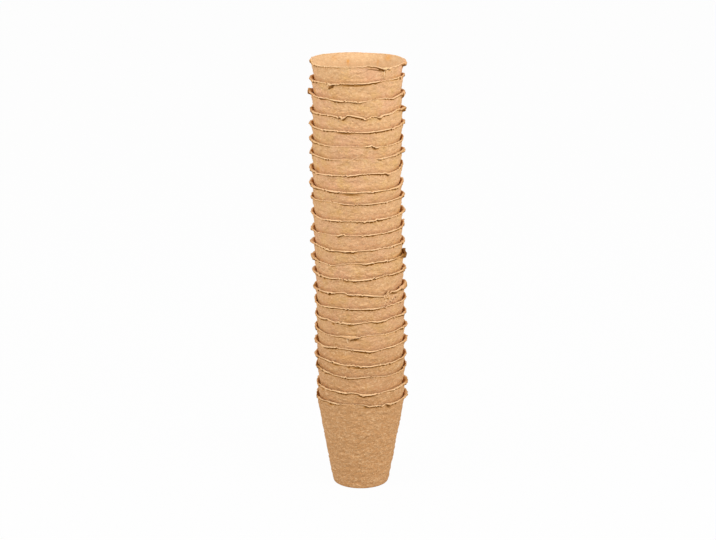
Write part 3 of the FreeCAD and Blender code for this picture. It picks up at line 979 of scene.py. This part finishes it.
class FibreShading:
    """A matte material of peat and wood fibre, and the nodes that its colour is mixed with."""

    def __init__(self, name):
        self.material = bpy.data.materials.new(name)
        self.material.use_nodes = True
        self.tree = self.material.node_tree
        self.shader = self.tree.nodes["Principled BSDF"]
        self.shader.inputs["Specular IOR Level"].default_value = 0.15
        self.shader.location = (450, 300)
        self.tree.nodes["Material Output"].location = (720, 300)
        self.place = node(self.tree, "ShaderNodeTexCoord", (-2000, 0)).outputs["Object"]
        flat = node(self.tree, "ShaderNodeMapping", (-1800, -300))
        flat.inputs["Scale"].default_value = (1.0, 1.0, 1.7)
        wire(self.tree, (self.place, flat.inputs["Vector"]))
        self.flat = flat.outputs["Vector"]

    def noise(self, row, scale, detail, roughness, distortion=0.0, flat=False):
        """Noise of a scale for each metre. Flat noise is wider than it is high."""
        made = node(self.tree, "ShaderNodeTexNoise", (-1600, row), Scale=scale, Detail=detail,
                    Roughness=roughness, Distortion=distortion)
        wire(self.tree, (self.flat if flat else self.place, made.inputs["Vector"]))
        return made.outputs["Fac"]

    def ramp(self, value, low, high, spot, top=1.0, bottom=0.0):
        """Goes from the bottom to the top as the value goes from low to high."""
        made = node(self.tree, "ShaderNodeMapRange", spot)
        for label, number in (("From Min", low), ("From Max", high), ("To Min", bottom), ("To Max", top)):
            made.inputs[label].default_value = number
        wire(self.tree, (value, made.inputs["Value"]))
        return made.outputs["Result"]

    def blotches(self, row, scale, detail, roughness, low, high, top=1.0, **more):
        """Blotches that start where the noise passes the low value and are full at the high one."""
        noise = self.noise(row, scale, detail, roughness, **more)
        return self.ramp(noise, low, high, (-1400, row), top)

    def mix(self, factor, first, second, spot):
        """Goes from the first colour to the second as the factor goes from zero to one."""
        made = node(self.tree, "ShaderNodeMix", spot, data_type="RGBA")
        for value, label in ((first, "A"), (second, "B")):
            target = find_socket(made.inputs, "RGBA", label)
            if isinstance(value, bpy.types.NodeSocket):
                wire(self.tree, (value, target))
            else:
                target.default_value = (*value, 1.0)
        wire(self.tree, (factor, find_socket(made.inputs, "VALUE", "Factor")))
        return find_socket(made.outputs, "RGBA", "Result")

    def layer(self, label, spot):
        """The numbers that the mesh holds under a name."""
        return node(self.tree, "ShaderNodeAttribute", spot, attribute_name=label).outputs["Fac"]

    def finish(self, colour, relief, rough, depth):
        """Sets the colour, the bumps from a relief in metres, and the roughness."""
        gloss = self.ramp(rough, 0.3, 0.7, (-1000, -650), 1.0, 0.82)
        bump = node(self.tree, "ShaderNodeBump", (-300, -500), Strength=0.85, Distance=depth)
        wire(self.tree, (colour, self.shader.inputs["Base Color"]),
             (gloss, self.shader.inputs["Roughness"]), (relief, bump.inputs["Height"]),
             (bump, self.shader.inputs["Normal"]))
        return self.material


def pulp_material(colours):
    """Dry pressed pulp: broad warm and dull patches, specks of peat, pale fibres, torn edges, rust
    stains, painted shade on the lower pots and in the cracks, slots and pits, and painted warm bounce
    light."""
    pulp = FibreShading("pressed_peat_pulp")
    broad = pulp.blotches(400, 34.0, 3.0, 0.55, 0.42, 0.62)
    dull = pulp.blotches(200, 75.0, 3.0, 0.6, 0.48, 0.70)
    mottled = pulp.blotches(-50, 230.0, 5.0, 0.7, 0.46, 0.70, 0.5, distortion=1.0, flat=True)
    speck = pulp.blotches(-250, 560.0, 3.0, 0.7, 0.61, 0.74, 0.6)
    pale = pulp.blotches(-450, 200.0, 4.0, 0.65, 0.48, 0.70, 0.5, distortion=2.4, flat=True)
    torn = pulp.ramp(pulp.layer("torn", (-900, 50)), 0.2, 1.6, (-700, 50))
    depth = pulp.layer("deep", (-900, -350))
    # Painted warm bounce light along the edge of the painted shade
    bounce_edge = pulp.ramp(depth, 0.0, 0.7, (-700, -150), 0.7)
    # Painted shade where the deep layer is high
    crevice_shade = pulp.ramp(depth, 0.2, 1.15, (-700, -350))
    colour = colours.body
    # The shade layer paints shade, mostly on the lower pots; the rust layer holds rust stains and painted
    # warm bounce light
    for step, (share, second) in enumerate((
            (broad, colours.warm), (dull, colours.dull),
            (pulp.layer("shade", (-1200, 650)), colours.shaded_brown),
            (mottled, colours.peat), (speck, colours.peat), (pale, colours.fibre),
            (torn, colours.fibre), (pulp.layer("rust_and_bounce_light", (-900, -150)), colours.rust_and_bounce_light),
            (bounce_edge, colours.rust_and_bounce_light), (crevice_shade, colours.crevice_shade))):
        colour = pulp.mix(share, colour, second, (-1200 + 160 * step, 400))
    relief = pulp.noise(-850, 290.0, 7.0, 0.72, 0.9, flat=True)
    rough = pulp.noise(-650, 400.0, 3.0, 0.6)
    return pulp.finish(colour, relief, rough, PULP_BUMP)


def sliver_material(colours):
    """Loose wood fibre and crumbs, from pale straw to dark peat by their own tone. The darkest slivers
    are painted shade under torn lips and flaps.
    """
    wood = FibreShading("loose_wood_fibre")
    grain = wood.blotches(200, 700.0, 4.0, 0.6, 0.4, 0.7, 0.6, distortion=1.0)
    pale = wood.mix(grain, colours.fibre, colours.body, (-900, 300))
    # Dark slivers and crumbs, in the colour of the painted crevice shade
    dark = wood.mix(grain, colours.crevice_shade, colours.peat, (-900, 100))
    colour = wood.mix(wood.layer("tone", (-900, -100)), pale, dark, (-500, 300))
    relief = wood.noise(-850, 900.0, 4.0, 0.6)
    rough = wood.noise(-650, 500.0, 3.0, 0.6)
    return wood.finish(colour, relief, rough, FIBRE_BUMP)


class PotStack:
    """Every pot of the stack, formed round its place in the frame."""

    def __init__(self, scene):
        self.camera = PhotoCamera(scene.peat_pot_stage)
        self.forms = []
        places = [PotPlace(i) for i in range(POT_COUNT)]
        rises = [b.seat[2] - a.seat[2] for a, b in zip(places, places[1:])]
        below = np.full(COLUMNS, -POT_HEIGHT)
        for i, place in enumerate(places):
            rng = np.random.default_rng(POT_SEED + i)
            rim = PotRim(place, self.camera, scene.peat_pot_sizes, rng)
            wall = TOP_POT_WALL if place.is_top else rises[i] * TAPER - NEST_CLEARANCE
            rise = rises[i - 1] if i else POT_HEIGHT
            self.forms.append(PotForm(rim, wall, rise, below))
            if not place.is_top:
                below = rim.height - rises[i]


def falloff_shade_of(form):
    """How much painted shade a pot takes: the lower it stands in the stack, the more, for the light
    that falls off downward, with a little random tone for each pot.
    """
    low = 1 - form.place.index / (POT_COUNT - 1)
    return float(np.clip(0.35 * low + 0.65 * low ** 4 + form.rim.rng.uniform(-0.1, 0.1), 0, 1))


def add_piece(context, name, mesh, material, pot_node):
    """Puts a piece in the scene, where it moves with its pot."""
    piece = bpy.data.objects.new(name, mesh)
    mesh.materials.append(material)
    context.scene.collection.objects.link(piece)
    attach(piece, pot_node)
    return piece


def make_pots(context):
    """Builds every pot of the stack around its place in the frame."""
    material = pulp_material(context.scene.peat_pot_colours)
    for form in PotStack(context.scene).forms:
        name = "pressed_" + form.place.node
        mesh = form.mesh(name, falloff_shade_of(form))
        piece = add_piece(context, name, mesh, material, form.place.node)
        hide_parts(form.place.node)


class LooseBits:
    """The slivers, fibres and crumbs that lie on one pot's wall, as one mesh."""

    def __init__(self, form, camera, rng):
        self.form = form
        self.camera = camera
        self.rng = rng
        self.seat = form.place.seat
        mesh = bpy.data.meshes["pressed_" + form.place.node]
        faces = [tuple(p.vertices) for p in mesh.polygons]
        self.tree = BVHTree.FromPolygons([v.co for v in mesh.vertices], faces)
        self.points = []
        self.faces = []
        self.tones = []

    def on_surface(self, angle, height, reach):
        """The point and the outward way at an angle and a height of the outside, or nothing where
        that stands further out from the wall than it may reach."""
        out = Vector((math.cos(angle), math.sin(angle), 0.0))
        start = Vector(self.seat) + out * (2 * WALL_TOP_RADIUS) + Vector((0, 0, height))
        hit = self.tree.ray_cast(start, -out)[0]
        if hit is None:
            return None
        radius = math.hypot(hit.x - self.seat[0], hit.y - self.seat[1])
        if radius > outer_radius(height) + reach:
            return None
        return hit, out

    def add_strand(self, rings, tone):
        """Closed rings of points, joined to one another and capped at both ends."""
        start = len(self.points)
        sides = STRAND_SIDES
        for ring in rings:
            self.points.extend(ring)
        for i in range(len(rings) - 1):
            for j in range(sides):
                a = start + i * sides + j
                b = start + i * sides + (j + 1) % sides
                self.faces.append((a, b, b + sides, a + sides))
        self.faces.append(tuple(start + j for j in reversed(range(sides))))
        last = start + (len(rings) - 1) * sides
        self.faces.append(tuple(last + j for j in range(sides)))
        self.tones.extend([tone] * (len(rings) * sides))

    def add_sliver(self, path, half, tone, reach=FIBRE_REACH):
        """A tapered strand along angles and heights of the wall, half sunk into it."""
        spots = [self.on_surface(angle, height, reach) for angle, height in path]
        if any(spot is None for spot in spots):
            return
        turns = [FULL_TURN * j / STRAND_SIDES for j in range(STRAND_SIDES)]
        rings = []
        for i, (hit, out) in enumerate(spots):
            ahead = (spots[min(i + 1, len(spots) - 1)][0] - spots[max(i - 1, 0)][0]).normalized()
            across = out.cross(ahead).normalized()
            share = 2 * i / (len(spots) - 1) - 1
            thick = half * (1 - 0.75 * share ** 4)
            middle = hit + out * (0.35 - 0.7 * share ** 4) * half
            deep = 0.8 * thick
            rings.append([middle + across * (thick * math.cos(turn)) + out * (deep * math.sin(turn))
                          for turn in turns])
        self.add_strand(rings, tone)

    def add_crumb(self, angle, height, size, tone, reach=FIBRE_REACH):
        """A small uneven lump, half sunk into the wall."""
        spot = self.on_surface(angle, height, reach)
        if spot is None:
            return
        hit, out = spot
        side = Vector((-out.y, out.x, 0.0))
        rings = []
        for lift, width in ((-0.5, 0.7), (0.0, 1.0), (0.5, 0.85), (0.8, 0.35)):
            turns = [FULL_TURN * (j + self.rng.uniform(-0.2, 0.2)) / STRAND_SIDES
                     for j in range(STRAND_SIDES)]
            wide = size * width * self.rng.uniform(0.75, 1.25, STRAND_SIDES)
            middle = hit + out * (0.7 * lift * size)
            rings.append([middle + side * (w * math.cos(turn)) + Vector((0, 0, 0.7 * w * math.sin(turn)))
                          for turn, w in zip(turns, wide)])
        self.add_strand(rings, tone)

    def strew_fibres(self):
        """Short bent fibres, and small crumbs, all over the part of the wall that shows."""
        rng = self.rng
        top = self.form.rim.root - FIBRE_MARGIN
        bottom = np.maximum(self.form.below + FIBRE_MARGIN, FIBRE_BOTTOM)
        band = float(np.mean(top - bottom))

        def spot_that_shows():
            """A random angle, and a random height of the part that shows there."""
            angle = rng.uniform(0, FULL_TURN)
            column = column_at(angle)
            return angle, rng.uniform(bottom[column], top[column])

        for _ in range(round(FIBRES_A_METRE * band)):
            angle, height = spot_that_shows()
            size = rng.uniform(*FIBRE_LENGTHS) * MM
            tilt = rng.normal(0, 0.6)
            bend = rng.normal(0, 0.35) * size
            along = np.linspace(-0.5, 0.5, 5)
            angles = angle + size * along * math.cos(tilt) / outer_radius(height)
            heights = height + size * along * math.sin(tilt) + bend * (along ** 2 - 0.08)
            columns = column_at(angles)
            if np.any(heights > top[columns]) or np.any(heights < bottom[columns]):
                continue
            half = rng.uniform(*FIBRE_HALVES) * MM
            tone = 0.75 if rng.uniform() < 0.3 else 0.25 * rng.uniform()
            self.add_sliver(list(zip(angles, heights)), half, tone)
        for _ in range(round(CRUMBS_A_METRE * band)):
            self.add_crumb(*spot_that_shows(), rng.uniform(*CRUMB_HALVES) * MM, rng.uniform(0, 1))

    def add_marks(self):
        """The slivers and the strewn crumbs that stand out on this pot."""
        rng = self.rng
        for half, tone, pixels in self.form.place.rows_of(SLIVERS):
            shares = np.linspace(0, len(pixels) - 1, 3 * len(pixels))
            across, down = (np.interp(shares, range(len(pixels)), places) for places in zip(*pixels))
            path = [self.camera.on_wall(x, y, self.seat) for x, y in zip(across, down)]
            self.add_sliver(path, half * MM, tone, SLIVER_REACH)
        for across, down, half_across, half_down, count, size in self.form.place.rows_of(CRUMB_PATCHES):
            for _ in range(count):
                x = across + half_across * rng.uniform(-1, 1)
                y = down + half_down * rng.uniform(-1, 1)
                spot = self.camera.on_wall(x, y, self.seat)
                tone = 0.05 if rng.uniform() < 0.5 else 0.95
                self.add_crumb(*spot, size * rng.uniform(0.5, 1.1) * MM, tone, CRUMB_REACH)

    def mesh(self, name):
        mesh = bpy.data.meshes.new(name)
        mesh.from_pydata([tuple(p) for p in self.points], [], self.faces)
        mesh.shade_smooth()
        layer = mesh.attributes.new("tone", "FLOAT", "POINT")
        layer.data.foreach_set("value", self.tones)
        return mesh


def strew_loose_bits(context):
    """Lays the loose fibres, slivers and crumbs on every pot that has been built."""
    stack = PotStack(context.scene)
    material = sliver_material(context.scene.peat_pot_colours)
    for i, form in enumerate(stack.forms):
        bits = LooseBits(form, stack.camera, np.random.default_rng(BITS_SEED + i))
        bits.strew_fibres()
        bits.add_marks()
        name = "loose_fibres_%02d" % form.place.number
        add_piece(context, name, bits.mesh(name), material, form.place.node)


def empty_tree(owner):
    """The node tree of a material or a world, without the nodes that it came with."""
    owner.use_nodes = True
    owner.node_tree.nodes.clear()
    return owner.node_tree


def white_floor(stage):
    """A matte floor that the camera sees as white, with the stack's faint shadow on it."""
    material = bpy.data.materials.new("white_floor")
    tree = empty_tree(material)
    matte = node(tree, "ShaderNodeBsdfDiffuse", (0, 0))
    matte.inputs["Color"].default_value = (*stage.floor_colour, 1.0)
    glow = node(tree, "ShaderNodeEmission", (0, -150), Strength=1.0)
    rays = node(tree, "ShaderNodeLightPath", (-400, 200))
    share = node(tree, "ShaderNodeMath", (-200, 200), operation="MULTIPLY")
    share.inputs[1].default_value = FLOOR_WHITE
    blend = node(tree, "ShaderNodeMixShader", (200, 0))
    out = node(tree, "ShaderNodeOutputMaterial", (400, 0))
    wire(tree, (rays.outputs["Is Camera Ray"], share.inputs[0]), (share, blend.inputs[0]),
         (matte, blend.inputs[1]), (glow, blend.inputs[2]), (blend, out.inputs[0]))
    return material


def white_room(stage):
    """Even light from all round, which the camera, gloss and glass see as white."""
    world = bpy.data.worlds.new("white_room")
    tree = empty_tree(world)
    rays = node(tree, "ShaderNodeLightPath", (-600, 0))
    seen = node(tree, "ShaderNodeMath", (-400, 0), operation="MAXIMUM")
    seen_through = node(tree, "ShaderNodeMath", (-200, 0), operation="MAXIMUM")
    light = node(tree, "ShaderNodeBackground", (0, 100), Strength=stage.sky)
    white = node(tree, "ShaderNodeBackground", (0, -100), Strength=1.0)
    for background in (light, white):
        background.inputs["Color"].default_value = (1, 1, 1, 1)
    blend = node(tree, "ShaderNodeMixShader", (200, 0))
    out = node(tree, "ShaderNodeOutputWorld", (400, 0))
    wire(tree, (rays.outputs["Is Camera Ray"], seen.inputs[0]),
         (rays.outputs["Is Glossy Ray"], seen.inputs[1]), (seen, seen_through.inputs[0]),
         (rays.outputs["Is Transmission Ray"], seen_through.inputs[1]),
         (seen_through, blend.inputs[0]), (light, blend.inputs[1]), (white, blend.inputs[2]),
         (blend, out.inputs[0]))
    return world


def add_floor(scene, stage):
    half = FLOOR_HALF
    mesh = bpy.data.meshes.new("floor")
    corners = [(-half, -half, 0), (half, -half, 0), (half, half, 0), (-half, half, 0)]
    mesh.from_pydata(corners, [], [(0, 1, 2, 3)])
    mesh.materials.append(white_floor(stage))
    floor = bpy.data.objects.new("floor", mesh)
    scene.collection.objects.link(floor)
    floor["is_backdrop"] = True


def add_lamps(scene, stage):
    for side, across, back in LAMPS:
        lamp = bpy.data.lights.new(side + "_lamp", "AREA")
        lamp.shape = "RECTANGLE"
        lamp.size = LAMP_WIDTH
        lamp.size_y = LAMP_DEPTH
        lamp.energy = stage.lamp_power * (1 + math.copysign(stage.lamp_lean, across))
        holder = bpy.data.objects.new(side + "_lamp", lamp)
        holder.location = (across, back, LAMP_HEIGHT)
        way = Vector(LAMP_TARGET) - holder.location
        holder.rotation_euler = way.to_track_quat("-Z", "Y").to_euler()
        scene.collection.objects.link(holder)


def add_camera(scene, stage):
    camera = bpy.data.cameras.new("camera")
    camera.lens = stage.lens
    camera.sensor_width = SENSOR_WIDTH
    camera.sensor_fit = "HORIZONTAL"
    viewer = bpy.data.objects.new("camera", camera)
    viewer.location = (CAMERA_ACROSS, -stage.camera_distance, stage.camera_height)
    viewer.rotation_euler = (math.pi / 2 - stage.camera_pitch, 0, 0)
    scene.collection.objects.link(viewer)
    scene.camera = viewer


def make_stage(context):
    """Floor, sky, two large lamps and the camera."""
    scene = context.scene
    stage = scene.peat_pot_stage
    add_floor(scene, stage)
    scene.world = white_room(stage)
    add_lamps(scene, stage)
    add_camera(scene, stage)
    scene.view_settings.view_transform = "Standard"


class PeatPotsMakeStack(bpy.types.Operator):
    """Build the nested pots with their pressed walls and torn lips."""

    bl_idname = "peat_pots.make_stack"
    bl_label = "Make the pots"

    def execute(self, context):
        make_pots(context)
        return {"FINISHED"}


class PeatPotsStrewFibres(bpy.types.Operator):
    """Lay loose fibres, slivers and crumbs on the walls of the pots."""

    bl_idname = "peat_pots.strew_fibres"
    bl_label = "Strew loose fibres"

    def execute(self, context):
        strew_loose_bits(context)
        return {"FINISHED"}


class PeatPotsMakeStage(bpy.types.Operator):
    """Build the floor, the lamps, the sky and the camera."""

    bl_idname = "peat_pots.make_stage"
    bl_label = "Make the stage"

    def execute(self, context):
        make_stage(context)
        return {"FINISHED"}


class PeatPotsPanel(bpy.types.Panel):
    """Lists the settings, and the steps that build the stack and its stage."""

    bl_idname = "VIEW3D_PT_peat_pots"
    bl_label = "Peat pots"
    bl_space_type = "VIEW_3D"
    bl_region_type = "UI"
    bl_category = "Peat pots"

    def draw(self, context):
        layout = self.layout
        for name in GROUPS:
            group = getattr(context.scene, name)
            box = layout.box()
            for setting in group.__annotations__:
                box.prop(group, setting)
        for operator in STEPS:
            layout.operator(operator.bl_idname)


STEPS = (PeatPotsMakeStack, PeatPotsStrewFibres, PeatPotsMakeStage)
GROUPS = {
    "peat_pot_sizes": PeatPotSizes,
    "peat_pot_colours": PulpColours,
    "peat_pot_stage": PotStageSettings,
}


def register():
    for kind in (*GROUPS.values(), *STEPS, PeatPotsPanel):
        bpy.utils.register_class(kind)
    for name, kind in GROUPS.items():
        setattr(bpy.types.Scene, name, bpy.props.PointerProperty(type=kind))


def unregister():
    for name in GROUPS:
        delattr(bpy.types.Scene, name)
    for kind in reversed((*GROUPS.values(), *STEPS, PeatPotsPanel)):
        bpy.utils.unregister_class(kind)


def main():
    register()
    bpy.ops.peat_pots.make_stack()
    bpy.ops.peat_pots.strew_fibres()
    bpy.ops.peat_pots.make_stage()
    boxes = {"cad": CAD_BOX, "visual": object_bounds()}
    {name: [list(corner) for corner in box] for name, box in boxes.items()}


if __name__ == "__main__":
    main()
